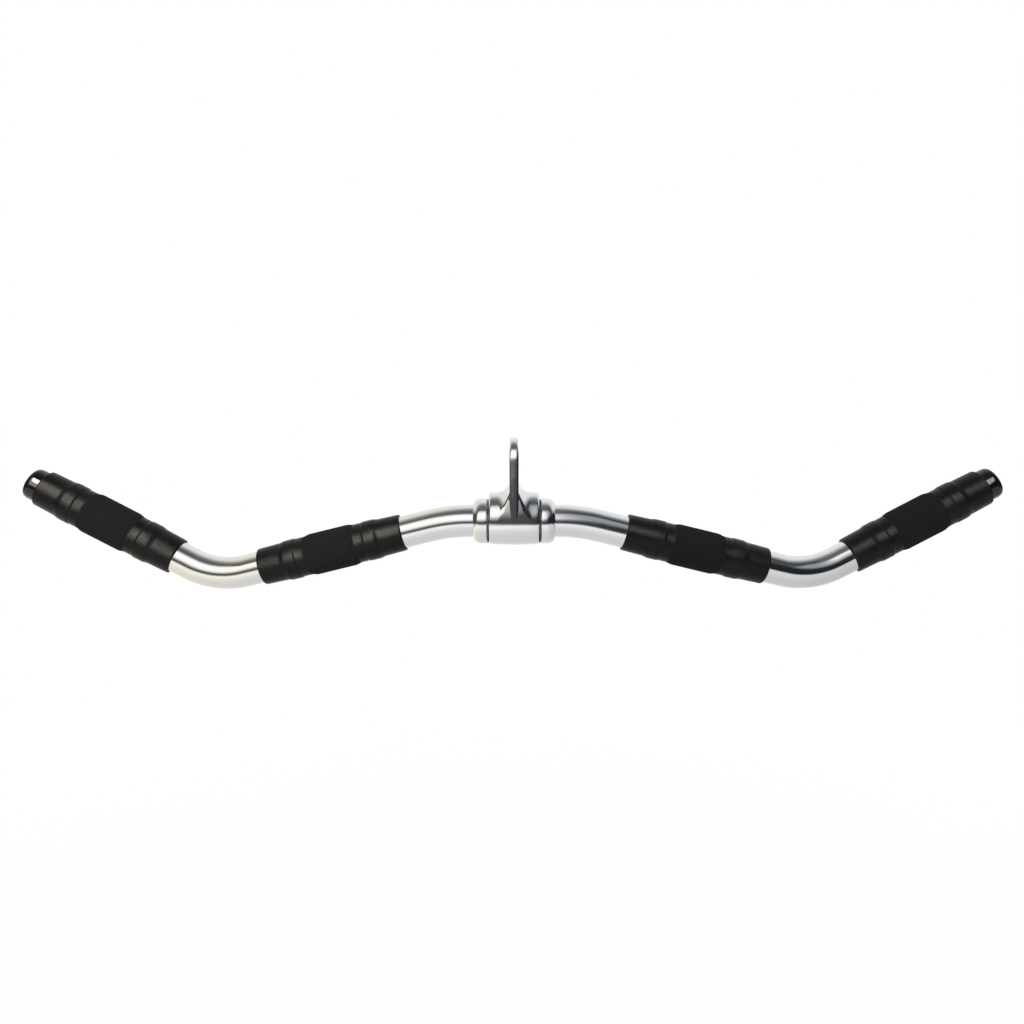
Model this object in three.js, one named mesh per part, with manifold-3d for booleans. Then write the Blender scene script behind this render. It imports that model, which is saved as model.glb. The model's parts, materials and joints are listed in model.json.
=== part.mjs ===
// A revolving cable-machine bar: a chromed steel tube bent to a shallow W, with four moulded rubber grips,
// hung from a cast eye whose sleeve turns on bushes in the middle of the tube, between two stop collars.
// Millimetres. X runs along the bar, Z is up, and the viewer stands at -Y.
// The origin is the centre of the hole in the eye, the point that the cable's hook pulls on.

import * as THREE from 'three';
import { mergeVertices } from 'three/addons/utils/BufferGeometryUtils.js';
import Module from 'manifold-3d';

const wasm = await Module();
wasm.setup();

const degrees = THREE.MathUtils.degToRad;

// Driving dimensions

const seatGap = 0.3;
const cutOverrun = 2;

const tube = {
  radius: 12.7,
  wall: 3,
  slopeAngle: degrees(13.8),
  slopeBendRadius: 144,
  riseAngle: degrees(28.3),
  elbowRadius: 60,
  collarToBend: 1.3,
  bendToGrip: 19.8,
  gripToElbow: 13.5,
  elbowToGrip: 12.1,
  gripToEnd: 9.8,
};

const plug = {
  headLength: 10.4,
  headInset: 0.3,
  shoulderLength: 4,
  shoulderDrop: 1.8,
  spigotLength: 14,
  spigotChamfer: 1,
};

const grip = {
  length: 114.3,
  mouthCover: 1.7,
  mouthRound: 1.2,
  cuffCover: 2.1,
  cuffLength: 17.2,
  bandCover: 3,
  bandRise: 5,
  bandLength: 6.7,
  waistCover: 2.5,
  waistFall: 1.8,
  waistLength: 6,
  barrelCover: 3.6,
  barrelRise: 5.6,
};

const bush = {
  wall: 1.5,
  length: 15,
  inset: 0.6,
};

const sleeve = {
  halfLength: 19.5,
  wall: 4.1,
  shoulderRise: 4,
  crownDrop: 0.7,
  endRound: 1.6,
};

const eye = {
  height: 48,
  headRadius: 17,
  holeRadius: 8.5,
  holeRound: 1.4,
  thickness: 7,
  edgeRound: 1.8,
  edgeRoundShare: 0.3,
  footFillet: 10,
};

const washer = {
  thickness: 1,
  recess: 0.7,
};

const collar = {
  wall: 4.8,
  width: 10.6,
  shoulderLength: 6.5,
  lip: 0.4,
  innerChamfer: 0.5,
};

const setScrew = {
  radius: 2.5,
  fromFace: 4.2,
  length: 4.2,
  pointChamfer: 0.8,
  socketAcrossFlats: 2.5,
  socketDepth: 2.2,
  fromHorizontal: degrees(45),
};

// Counts of facets and steps

const roundSides = 32;
const gripSides = 24;
const bushSides = 24;
const boreSides = 16;
const screwSides = 12;
const elbowSteps = 8;
const slopeBendSteps = 4;
const cornerSteps = 4;
const rampSteps = 3;
const edgeSteps = 3;
const filletSteps = 6;
const headSteps = 8;
const flankSteps = 7;
const bellySteps = 6;

// Sizes that follow

const tubeBore = tube.radius - tube.wall;
const runningBore = tube.radius + seatGap;
const bushOuter = runningBore + bush.wall;
const sleeveBore = bushOuter + seatGap;
const sleeveRadius = sleeveBore + sleeve.wall;
const collarRadius = runningBore + collar.wall;
const shoulderDrop = collar.wall - collar.lip;
const washerStart = sleeve.halfLength + seatGap;
const collarStart = washerStart + washer.thickness + seatGap;
const straightHalf = collarStart + collar.width + tube.collarToBend;
const slopeRun = tube.bendToGrip + grip.length + tube.gripToElbow;
const riseRun = tube.elbowToGrip + grip.length + tube.gripToEnd;

// The right half of the tube's centre line, from the middle outwards. A leg with a radius is an arc.

const legs = [
  { length: straightHalf, steps: 1 },
  { radius: tube.slopeBendRadius, turn: -tube.slopeAngle, steps: slopeBendSteps },
  { length: slopeRun, steps: 1 },
  { radius: tube.elbowRadius, turn: tube.slopeAngle + tube.riseAngle, steps: elbowSteps },
  { length: riseRun, steps: 1 },
];
const legLength = (leg) => leg.length ?? leg.radius * Math.abs(leg.turn);
const legEnds = legs.reduce((ends, leg) => [...ends, ends.at(-1) + legLength(leg)], [0]);
const halfLength = legEnds.at(-1);
const tubeEnd = halfLength - plug.headLength - seatGap;
const innerGripMiddle = legEnds[2] + tube.bendToGrip + grip.length / 2;
const outerGripMiddle = legEnds[4] + tube.elbowToGrip + grip.length / 2;

// Where the centre line is, and which way it heads, at a distance from the middle. Left is negative.
function placeAlong(distance) {
  const side = distance < 0 ? -1 : 1;
  let left = Math.abs(distance);
  let heading = 0;
  let [across, rise] = [0, 0];
  for (const leg of legs) {
    const run = Math.min(left, legLength(leg));
    if (leg.radius) {
      const next = heading + (leg.turn * run) / legLength(leg);
      const swing = leg.radius * Math.sign(leg.turn);
      across += swing * (Math.sin(next) - Math.sin(heading));
      rise -= swing * (Math.cos(next) - Math.cos(heading));
      heading = next;
    } else {
      across += run * Math.cos(heading);
      rise += run * Math.sin(heading);
    }
    left -= run;
  }
  return { point: new THREE.Vector3(side * across, 0, rise), heading: side * heading };
}

// The centre line as a curve whose even steps fall on the stations, so a straight run is one step.
class CentreLine extends THREE.Curve {
  constructor(stations) {
    super();
    this.stations = stations;
  }

  distanceAt(u) {
    const steps = this.stations.length - 1;
    const step = Math.min(Math.floor(u * steps), steps - 1);
    return THREE.MathUtils.lerp(this.stations[step], this.stations[step + 1], u * steps - step);
  }

  getUtoTmapping(u) {
    return u;
  }

  getPoint(u) {
    return placeAlong(this.distanceAt(u)).point;
  }

  getTangent(u) {
    const { heading } = placeAlong(this.distanceAt(u));
    return new THREE.Vector3(Math.cos(heading), 0, Math.sin(heading));
  }
}

// Makes one closed mesh of a geometry: corners shared, no empty triangle, faces outwards.
function closeMesh(source) {
  const bare = source.clone();
  bare.deleteAttribute('normal');
  bare.deleteAttribute('uv');
  const merged = mergeVertices(bare);
  const points = merged.attributes.position;
  const old = merged.index.array;
  const kept = [];
  const [a, b, c] = [new THREE.Vector3(), new THREE.Vector3(), new THREE.Vector3()];
  let volume = 0;
  for (let i = 0; i < old.length; i += 3) {
    const [p, q, r] = [old[i], old[i + 1], old[i + 2]];
    if (p !== q && q !== r && r !== p) {
      kept.push(p, q, r);
      a.fromBufferAttribute(points, p);
      b.fromBufferAttribute(points, q);
      c.fromBufferAttribute(points, r);
      volume += a.dot(b.cross(c));
    }
  }
  merged.setIndex(volume < 0 ? kept.reverse() : kept);
  return merged;
}

function toSolid(geometry) {
  const closed = closeMesh(geometry);
  return new wasm.Manifold(new wasm.Mesh({
    numProp: 3,
    vertProperties: new Float32Array(closed.attributes.position.array),
    triVerts: new Uint32Array(closed.index.array),
  }));
}

function toGeometry(solid) {
  const { vertProperties, triVerts } = solid.getMesh();
  const geometry = new THREE.BufferGeometry();
  geometry.setAttribute('position', new THREE.BufferAttribute(vertProperties, 3));
  geometry.setIndex(new THREE.BufferAttribute(triVerts, 1));
  return geometry;
}

function cut(geometry, cutters) {
  return toGeometry(cutters.reduce((solid, cutter) => solid.subtract(toSolid(cutter)), toSolid(geometry)));
}

// A turned piece along X. Its outline is a list of pairs: how far along, and the radius there.
function turned(outline, sides = roundSides) {
  const points = outline.map(([along, radius]) => new THREE.Vector2(radius, along));
  return closeMesh(new THREE.LatheGeometry(points, sides).rotateZ(-Math.PI / 2));
}

function ring(start, end, inner, outer, sides = roundSides) {
  return turned([[start, inner], [end, inner], [end, outer], [start, outer], [start, inner]], sides);
}

function rod(start, end, radius, sides = roundSides) {
  return turned([[start, 0], [start, radius], [end, radius], [end, 0]], sides);
}

// Points of an outline round a corner, between two directions given in quarter turns from X.
// The corner is a quarter of an ellipse where it runs further along X than out from it.
function corner(along, radius, size, from, to, run = size) {
  return Array.from({ length: cornerSteps + 1 }, (_, i) => {
    const angle = THREE.MathUtils.lerp(from, to, i / cornerSteps) * (Math.PI / 2);
    return [along + run * Math.cos(angle), radius + size * Math.sin(angle)];
  });
}

function circle(radius, sides) {
  return Array.from({ length: sides }, (_, i) => {
    const angle = (2 * Math.PI * i) / sides;
    return new THREE.Vector2(radius * Math.cos(angle), radius * Math.sin(angle));
  });
}

// The pieces that make up the bar

function barTube() {
  const half = legs.flatMap((leg, i) => Array.from(
    { length: leg.steps },
    (_, k) => legEnds[i] + (legLength(leg) * (k + 1)) / leg.steps,
  ));
  half.splice(-1, 1, tubeEnd);
  const stations = [...half.toReversed().map((distance) => -distance), ...half];
  const section = new THREE.Shape(circle(tube.radius, roundSides));
  section.holes.push(new THREE.Path(circle(tubeBore, boreSides)));
  return closeMesh(new THREE.ExtrudeGeometry(section, {
    steps: stations.length - 1,
    extrudePath: new CentreLine(stations),
  }));
}

// The plug's head is a little narrower than the tube, and its seat is hidden inside the grip's mouth.
function endPlug() {
  const spigot = tubeBore - seatGap;
  const head = tube.radius - plug.headInset;
  const seat = -plug.headLength;
  return turned([
    [seat - plug.spigotLength, 0],
    [seat - plug.spigotLength, spigot - plug.spigotChamfer],
    [seat - plug.spigotLength + plug.spigotChamfer, spigot],
    [seat, spigot],
    [seat, head],
    ...corner(-plug.shoulderLength, head - plug.shoulderDrop, plug.shoulderDrop, 1, 0, plug.shoulderLength),
    [0, 0],
  ]);
}

// A soft step from one radius to another, as a moulded rubber piece has.
function ramp(start, length, from, to) {
  return Array.from({ length: rampSteps + 1 }, (_, i) => {
    const share = i / rampSteps;
    return [start + length * share, THREE.MathUtils.lerp(from, to, THREE.MathUtils.smoothstep(share, 0, 1))];
  });
}

function rubberGrip() {
  const [mouth, cuff, band, waist, barrel] = [
    grip.mouthCover, grip.cuffCover, grip.bandCover, grip.waistCover, grip.barrelCover,
  ].map((cover) => tube.radius + cover);
  const start = -grip.length / 2;
  const cuffEnd = start + grip.cuffLength;
  const bandEnd = cuffEnd + grip.bandRise + grip.bandLength;
  const waistEnd = bandEnd + grip.waistFall + grip.waistLength;
  const half = [
    [start, mouth - grip.mouthRound],
    [start + grip.mouthRound, mouth],
    ...ramp(cuffEnd, grip.bandRise, cuff, band),
    [bandEnd, band],
    [bandEnd + grip.waistFall, waist],
    ...ramp(waistEnd, grip.barrelRise, waist, barrel),
  ];
  const outer = [...half, ...half.toReversed().map(([along, radius]) => [-along, radius])];
  return turned([[start, runningBore], ...outer, [-start, runningBore], [start, runningBore]], gripSides);
}

// A collar stands on the right of the sleeve, with its round shoulder outwards.

const screwMiddle = collarStart + setScrew.fromFace;

function screwHole(angle) {
  return rod(0, collarRadius + cutOverrun, setScrew.radius + seatGap, screwSides)
    .rotateZ(Math.PI / 2)
    .rotateX(angle)
    .translate(screwMiddle, 0, 0);
}

function stopCollar() {
  const end = collarStart + collar.width;
  const shoulderStart = end - collar.shoulderLength;
  const ringOutline = [
    [collarStart, runningBore],
    [collarStart, collarRadius - collar.innerChamfer],
    [collarStart + collar.innerChamfer, collarRadius],
    ...corner(shoulderStart, collarRadius - shoulderDrop, shoulderDrop, 1, 0, collar.shoulderLength),
    [end, runningBore],
    [collarStart, runningBore],
  ];
  const holes = [setScrew.fromHorizontal, -setScrew.fromHorizontal].map(screwHole);
  return cut(turned(ringOutline), holes);
}

// A screw lies along X with its point at zero and its socket at the far end.
function socketScrew() {
  const body = turned([
    [0, 0],
    [0, setScrew.radius - setScrew.pointChamfer],
    [setScrew.pointChamfer, setScrew.radius],
    [setScrew.length, setScrew.radius],
    [setScrew.length, 0],
  ], screwSides);
  const corners = setScrew.socketAcrossFlats / Math.sqrt(3);
  const floor = setScrew.length - setScrew.socketDepth;
  return cut(body, [rod(floor, setScrew.length + cutOverrun, corners, 6)]);
}

// The hanger is lofted along X from outlines round the swivel axis. An outline is a radius for each angle
// from straight up: an oval sleeve, an eye with a round head and straight flanks, and a fillet between them.

const flankLean = Math.asin((sleeveRadius - eye.headRadius) / eye.height);
const headEnd = Math.atan2(
  eye.headRadius * Math.cos(flankLean),
  eye.height + eye.headRadius * Math.sin(flankLean),
);
const flankEnd = Math.PI / 2 - flankLean;

function eyeRadius(angle) {
  if (angle < headEnd) {
    const off = eye.height * Math.sin(angle);
    return eye.height * Math.cos(angle) + Math.sqrt(eye.headRadius ** 2 - off ** 2);
  }
  return angle < flankEnd ? sleeveRadius / Math.sin(angle + flankLean) : sleeveRadius;
}

function ovalRadius(angle) {
  const top = sleeveRadius + (angle < Math.PI / 2 ? sleeve.shoulderRise : 0);
  return 1 / Math.hypot(Math.sin(angle) / sleeveRadius, Math.cos(angle) / top);
}

function hangerRadius(angle, { along, edge, foot }) {
  const crown = sleeve.crownDrop * (along / sleeve.halfLength) ** 2;
  const proud = Math.max(0, eyeRadius(angle) - ovalRadius(angle));
  const rounded = proud - Math.min(edge, eye.edgeRoundShare * proud);
  return ovalRadius(angle) - crown + Math.min(rounded, foot);
}

function quarter(steps, place) {
  return Array.from({ length: steps + 1 }, (_, i) => {
    const angle = (Math.PI / 2) * (i / steps);
    return place(Math.sin(angle), 1 - Math.cos(angle));
  });
}

function hangerStations() {
  const face = eye.thickness / 2;
  const endStart = sleeve.halfLength - sleeve.endRound;
  const fillet = Math.min(eye.footFillet, endStart - face);
  return [
    ...quarter(edgeSteps, (out, drop) => (
      { along: face - eye.edgeRound * (1 - out), edge: eye.edgeRound * drop, foot: Infinity }
    )),
    ...quarter(filletSteps, (out, drop) => (
      { along: face + fillet * drop, edge: eye.edgeRound, foot: fillet * (1 - out) }
    )),
    ...quarter(edgeSteps, (out, drop) => (
      { along: endStart + sleeve.endRound * out, edge: 0, foot: -sleeve.endRound * drop }
    )),
  ];
}

function hangerAngles() {
  const head = Array.from({ length: headSteps }, (_, i) => {
    const turn = (flankEnd * i) / headSteps;
    return Math.atan2(eye.headRadius * Math.sin(turn), eye.height + eye.headRadius * Math.cos(turn));
  });
  const flank = Array.from({ length: flankSteps }, (_, i) => (
    THREE.MathUtils.lerp(headEnd, flankEnd, i / flankSteps)
  ));
  const belly = Array.from({ length: bellySteps + 1 }, (_, i) => (
    THREE.MathUtils.lerp(flankEnd, Math.PI, i / bellySteps)
  ));
  const half = [...head, ...flank, ...belly];
  return [...half, ...half.slice(1, -1).toReversed().map((angle) => -angle)];
}

function loftedHanger() {
  const half = hangerStations();
  const mirrored = half.toReversed().map((station) => ({ ...station, along: -station.along }));
  const stations = [...mirrored, ...half];
  const angles = hangerAngles();
  const count = angles.length;
  const points = stations.flatMap((station) => angles.flatMap((angle) => {
    const radius = hangerRadius(Math.abs(angle), station);
    return [station.along, radius * Math.sin(angle), radius * Math.cos(angle)];
  }));
  const leftPole = points.length / 3;
  const rightPole = leftPole + 1;
  points.push(-sleeve.halfLength, 0, 0, sleeve.halfLength, 0, 0);
  const lastRing = (stations.length - 1) * count;
  const index = [];
  for (let i = 0; i < count; i += 1) {
    const next = (i + 1) % count;
    for (let row = 0; row < lastRing; row += count) {
      index.push(row + i, row + next, row + count + i);
      index.push(row + next, row + count + next, row + count + i);
    }
    index.push(leftPole, next, i);
    index.push(rightPole, lastRing + i, lastRing + next);
  }
  const geometry = new THREE.BufferGeometry();
  geometry.setAttribute('position', new THREE.Float32BufferAttribute(points, 3));
  geometry.setIndex(index);
  return geometry;
}

function eyeHole() {
  const face = eye.thickness / 2;
  const mouth = eye.holeRadius + eye.holeRound;
  const round = corner(face - eye.holeRound, mouth, eye.holeRound, 3, 4);
  const half = [...round, [face + cutOverrun, mouth], [face + cutOverrun, 0]];
  const outline = [...half.toReversed().map(([along, radius]) => [-along, radius]), ...half];
  return turned(outline).translate(0, 0, eye.height);
}

function swivelHanger() {
  const reach = sleeve.halfLength + cutOverrun;
  return cut(loftedHanger(), [eyeHole(), rod(-reach, reach, sleeveBore)]);
}

// Finishes

const chrome = { color: 0xd3d5d8, roughness: 0.1, metalness: 1 };
const rubber = { color: 0x24221f, roughness: 0.75, metalness: 0 };
const nylon = { color: 0x3a3b3d, roughness: 0.55, metalness: 0 };
const bronze = { color: 0xa8793e, roughness: 0.4, metalness: 1 };
const blackPlastic = { color: 0x1c1c1c, roughness: 0.2, metalness: 0 };
const blackSteel = { color: 0x2b2c2e, roughness: 0.45, metalness: 0.8 };

// The assembly

const group = new THREE.Group();
const swivelAxis = new THREE.Group();
swivelAxis.position.z = -eye.height;
group.add(swivelAxis);

function add(parent, name, geometry, look) {
  const mesh = new THREE.Mesh(geometry, new THREE.MeshStandardMaterial(look));
  mesh.name = name;
  parent.add(mesh);
  return mesh;
}

// A place on the centre line with its X along the tube, and on the left turned to face the left end.
function seatOnTube(distance) {
  const seat = new THREE.Group();
  const { point, heading } = placeAlong(distance);
  seat.position.copy(point);
  seat.rotation.y = -heading + (distance < 0 ? Math.PI : 0);
  swivelAxis.add(seat);
  return seat;
}

add(swivelAxis, 'bar_tube', barTube(), chrome);
add(swivelAxis, 'swivel_hanger', swivelHanger(), chrome);

const bushEnd = sleeve.halfLength - bush.inset;

for (const [side, sign] of [['left', -1], ['right', 1]]) {
  const half = new THREE.Group();
  half.rotation.y = sign < 0 ? Math.PI : 0;
  swivelAxis.add(half);
  const bushRing = ring(bushEnd - bush.length, bushEnd, runningBore, bushOuter, bushSides);
  add(half, `bush_${side}`, bushRing, bronze);
  const washerRing = ring(washerStart, washerStart + washer.thickness, runningBore, collarRadius - washer.recess);
  add(half, `thrust_washer_${side}`, washerRing, nylon);
  add(half, `stop_collar_${side}`, stopCollar(), chrome);
  for (const [level, lift] of [['upper', 1], ['lower', -1]]) {
    const spoke = new THREE.Group();
    spoke.position.x = screwMiddle;
    spoke.rotation.x = sign * lift * setScrew.fromHorizontal;
    half.add(spoke);
    const screw = add(spoke, `set_screw_${side}_${level}`, socketScrew(), blackSteel);
    screw.rotation.z = Math.PI / 2;
    screw.position.y = runningBore;
  }
  add(seatOnTube(sign * innerGripMiddle), `grip_inner_${side}`, rubberGrip(), rubber);
  add(seatOnTube(sign * outerGripMiddle), `grip_outer_${side}`, rubberGrip(), rubber);
  add(seatOnTube(sign * halfLength), `end_plug_${side}`, endPlug(), blackPlastic);
}

export default group;
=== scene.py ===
import json
import math
from itertools import pairwise

import bmesh
import bpy
from bpy.props import FloatProperty, FloatVectorProperty, PointerProperty
from bpy.types import Operator, Panel, PropertyGroup
from mathutils import Matrix, Vector


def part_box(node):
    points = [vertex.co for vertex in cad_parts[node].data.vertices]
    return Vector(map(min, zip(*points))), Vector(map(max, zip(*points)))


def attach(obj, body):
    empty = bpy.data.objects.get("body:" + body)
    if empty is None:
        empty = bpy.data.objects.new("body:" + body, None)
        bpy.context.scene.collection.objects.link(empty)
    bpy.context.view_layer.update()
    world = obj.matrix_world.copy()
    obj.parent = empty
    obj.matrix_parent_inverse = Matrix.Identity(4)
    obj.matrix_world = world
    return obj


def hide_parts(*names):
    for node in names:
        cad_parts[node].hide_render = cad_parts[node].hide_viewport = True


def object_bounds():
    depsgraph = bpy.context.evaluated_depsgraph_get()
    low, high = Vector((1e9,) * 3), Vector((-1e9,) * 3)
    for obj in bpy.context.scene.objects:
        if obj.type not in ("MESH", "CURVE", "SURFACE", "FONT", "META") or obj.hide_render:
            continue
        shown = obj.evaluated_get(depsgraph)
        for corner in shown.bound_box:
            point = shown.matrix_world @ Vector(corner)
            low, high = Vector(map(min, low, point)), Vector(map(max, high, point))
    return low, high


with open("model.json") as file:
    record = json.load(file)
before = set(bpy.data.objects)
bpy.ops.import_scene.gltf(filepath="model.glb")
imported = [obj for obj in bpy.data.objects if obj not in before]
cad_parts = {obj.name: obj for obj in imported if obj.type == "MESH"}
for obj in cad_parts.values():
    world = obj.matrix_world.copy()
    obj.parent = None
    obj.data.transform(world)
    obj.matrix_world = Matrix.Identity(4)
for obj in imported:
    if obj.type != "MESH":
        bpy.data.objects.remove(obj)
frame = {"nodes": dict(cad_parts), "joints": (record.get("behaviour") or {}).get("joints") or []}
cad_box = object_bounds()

bl_info = {
    "name": "Revolving Cable Bar",
    "version": (1, 0, 0),
    "blender": (4, 5, 0),
    "location": "View3D > Sidebar > Cable Bar",
    "description": "A chromed bar for a cable machine, with rubber grips and a swivel hanger",
    "category": "Add Mesh",
}

# What the frame says. The bar turns about a line along X, at this height.

AXIS_HEIGHT = frame["joints"][0]["pos_m"][2]
RIGHT_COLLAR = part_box("stop_collar_right")
RIGHT_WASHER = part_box("thrust_washer_right")
RIGHT_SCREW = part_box("set_screw_right_upper")
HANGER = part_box("swivel_hanger")

# Bare tube between a collar and the first bend

COLLAR_TO_BEND = 0.0013

# The sign of each side along X, and of each row of set screws along Z

SIDES = {"left": -1, "right": 1}
LEVELS = {"upper": 1, "lower": -1}

# The slots of the pieces that the lamps of their side shine on

SHINY_SLOTS = {"rubber", "black_plastic"}

# Counts of steps, the distance under which points are one, and the least angle of a sharp edge

TUBE_SIDES = 96
BEND_STEPS = 40
TURNED_STEPS = 96
GRIP_STEPS = 112
CORNER_STEPS = 12
RAMP_STEPS = 12
HEAD_STEPS = 36
FLANK_STEPS = 64
BELLY_STEPS = 60
EDGE_STEPS = 8
FILLET_STEPS = 26
CROWN_STEPS = 4
SCREW_STEPS = 32
HEX_SIDES = 6
MERGE = 1e-6
SHARP_ANGLE = math.radians(38)
QUARTER = math.pi / 2


def length(name, description, default):
    """A size in metres that a user may change."""
    return FloatProperty(
        name=name, description=description, default=default, min=0, unit="LENGTH", precision=5
    )


def angle(name, description, default):
    """An angle that a user may change, given in degrees."""
    return FloatProperty(
        name=name, description=description, default=math.radians(default), subtype="ANGLE"
    )


def share(name, description, default):
    """A value from 0 to 1 that a user may change."""
    return FloatProperty(
        name=name, description=description, default=default, min=0, max=1, subtype="FACTOR"
    )


def colour(name, description, default):
    """A colour that a user may change."""
    return FloatVectorProperty(
        name=name, description=description, default=default, min=0, max=1, subtype="COLOR"
    )


class CableBarTube(PropertyGroup):
    """Sizes of the bent tube and of the plugs in its ends."""

    radius: length("Radius", "Outer radius of the tube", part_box("bar_tube")[1].y)
    wall: length("Wall", "Thickness of the tube's wall", 0.003)
    straight: length(
        "Straight", "From the middle to the first bend", RIGHT_COLLAR[1].x + COLLAR_TO_BEND
    )
    slope: angle("Slope", "How far the inner grips slope down", 13.8)
    slope_bend: length("Slope bend", "Radius of the bend beside each collar", 0.144)
    rise: angle("Rise", "How far the outer grips rise", 28.3)
    elbow: length("Elbow", "Radius of the elbow between two grips", 0.06)
    bend_to_grip: length("Bend to grip", "Bare tube before an inner grip", 0.0198)
    grip_to_elbow: length("Grip to elbow", "Bare tube after an inner grip", 0.0135)
    elbow_to_grip: length("Elbow to grip", "Bare tube before an outer grip", 0.0121)
    grip_to_end: length("Grip to end", "How far a plug stands out of an outer grip", 0.0098)
    plug_head: length("Plug head", "Length of the plug outside the tube", 0.0104)
    plug_inset: length("Plug inset", "How much smaller in radius than the tube a plug is", 0.0003)
    plug_shoulder: length("Plug shoulder", "Length of the round of a plug's head", 0.004)
    plug_drop: length("Plug drop", "How far a plug's head is rounded down", 0.0018)
    plug_spigot: length("Plug spigot", "Length of the plug inside the tube", 0.014)
    seat: length("Seat", "Play between pieces that touch", 0.0003)


class CableBarGrip(PropertyGroup):
    """Sizes of one moulded grip. A cover is the rubber's thickness over the tube."""

    length: length("Length", "Length of a grip", 0.1143)
    mouth_cover: length("Mouth cover", "Cover at the very end", 0.0017)
    mouth_round: length("Mouth round", "Round of the end's edge", 0.0012)
    cuff_cover: length("Cuff cover", "Cover at the cuff's inner end", 0.0021)
    cuff_length: length("Cuff length", "Length of the plain cuff", 0.0172)
    band_cover: length("Band cover", "Cover on the raised band", 0.003)
    band_rise: length("Band rise", "Length of the rise to the band", 0.005)
    band_length: length("Band length", "Length of the band's crest", 0.0067)
    waist_cover: length("Waist cover", "Cover in the groove after the band", 0.0025)
    waist_fall: length("Waist fall", "Length of the fall from the band", 0.0018)
    waist_length: length("Waist length", "Length of the groove", 0.006)
    barrel_cover: length("Barrel cover", "Cover on the barrel", 0.0036)
    barrel_rise: length("Barrel rise", "Length of the rise to the barrel", 0.0056)
    knurl_pitch: length("Knurl pitch", "Length of one row of the barrel's texture", 0.00088)
    knurl_depth: length("Knurl depth", "Depth of the barrel's texture", 0.00018)


class CableBarHanger(PropertyGroup):
    """Sizes of the cast hanger: a sleeve round the bar and an eye on top of it."""

    half_length: length("Half length", "From the middle to the sleeve's end", HANGER[1].x)
    radius: length("Radius", "Outer radius of the sleeve", AXIS_HEIGHT - HANGER[0].z)
    bore: length("Bore", "Radius of the sleeve's bore", 0.0148)
    shoulder_rise: length("Shoulder rise", "How far the sleeve's top bulges", 0.004)
    crown_drop: length("Crown drop", "How much thinner the sleeve's ends are", 0.0007)
    end_round: length("End round", "Round of the sleeve's ends", 0.0016)
    head_radius: length("Head radius", "Radius of the eye's head", HANGER[1].z)
    hole_radius: length("Hole radius", "Radius of the hole", 0.0085)
    hole_round: length("Hole round", "Round of the hole's lips", 0.0014)
    thickness: length("Thickness", "Thickness of the eye", 0.007)
    edge_round: length("Edge round", "Round of the eye's edge", 0.0018)
    edge_round_share: share("Edge round share", "Most of its rise that an edge is rounded by", 0.3)
    foot_fillet: length("Foot fillet", "Fillet between the eye and the sleeve", 0.01)
    blend: length("Blend", "Softness of the crease round the fillet", 0.0016)


class CableBarCollar(PropertyGroup):
    """Sizes of the stop collars, washers and set screws."""

    radius: length("Radius", "Outer radius of a collar", RIGHT_COLLAR[1].y)
    wall: length("Wall", "Thickness of a collar", 0.0048)
    lip: length("Lip", "Flat ring left inside the shoulder's round", 0.0004)
    shoulder: length("Shoulder", "Length of the shoulder's round along the bar", 0.0065)
    inner_round: length("Inner round", "Round of the edge beside the hanger", 0.0005)
    washer_round: length("Washer round", "Round of a washer's edges", 0.00025)
    screw_radius: length("Screw radius", "Radius of a set screw", 0.0025)
    screw_length: length("Screw length", "Length of a set screw", 0.0042)
    screw_point: length("Screw point", "Chamfer of a set screw's point", 0.0008)
    screw_edge: length("Screw edge", "Chamfer of a set screw's outer end", 0.0003)
    socket_flats: length("Socket", "Width of a set screw's socket across flats", 0.0025)
    socket_depth: length("Socket depth", "Depth of a set screw's socket", 0.0022)
    screw_turn: angle("Screw turn", "How far the screws are from level, at the rear", 45)


class CableBarFinish(PropertyGroup):
    """Colours and roughness of the finishes."""

    chrome: colour("Chrome", "Colour of the plating", (0.74, 0.745, 0.75))
    chrome_roughness: share("Chrome roughness", "Roughness of clean plating", 0.035)
    rubber: colour("Rubber", "Colour of the grips", (0.0062, 0.0061, 0.0064))
    rubber_dust: colour("Rubber dust", "Colour that dust gives the grips", (0.0155, 0.015, 0.015))
    rubber_gloss: share("Rubber gloss", "Specular level of the grips", 0.12)
    cuff_roughness: share("Cuff roughness", "Roughness of a grip's smooth parts", 0.32)
    barrel_roughness: share("Barrel roughness", "Roughness of a grip's barrel", 0.82)
    plastic: colour("Plastic", "Colour of the end plugs", (0.006, 0.006, 0.006))
    plastic_gloss: share("Plastic gloss", "Specular level of the end plugs", 0.4)
    plastic_roughness: share("Plastic roughness", "Roughness of the end plugs", 0.05)
    nylon: colour("Nylon", "Colour of the thrust washers", (0.06, 0.061, 0.064))
    bronze: colour("Bronze", "Colour of the bushes", (0.52, 0.34, 0.14))
    black_steel: colour("Black steel", "Colour of the set screws", (0.03, 0.031, 0.034))


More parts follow.
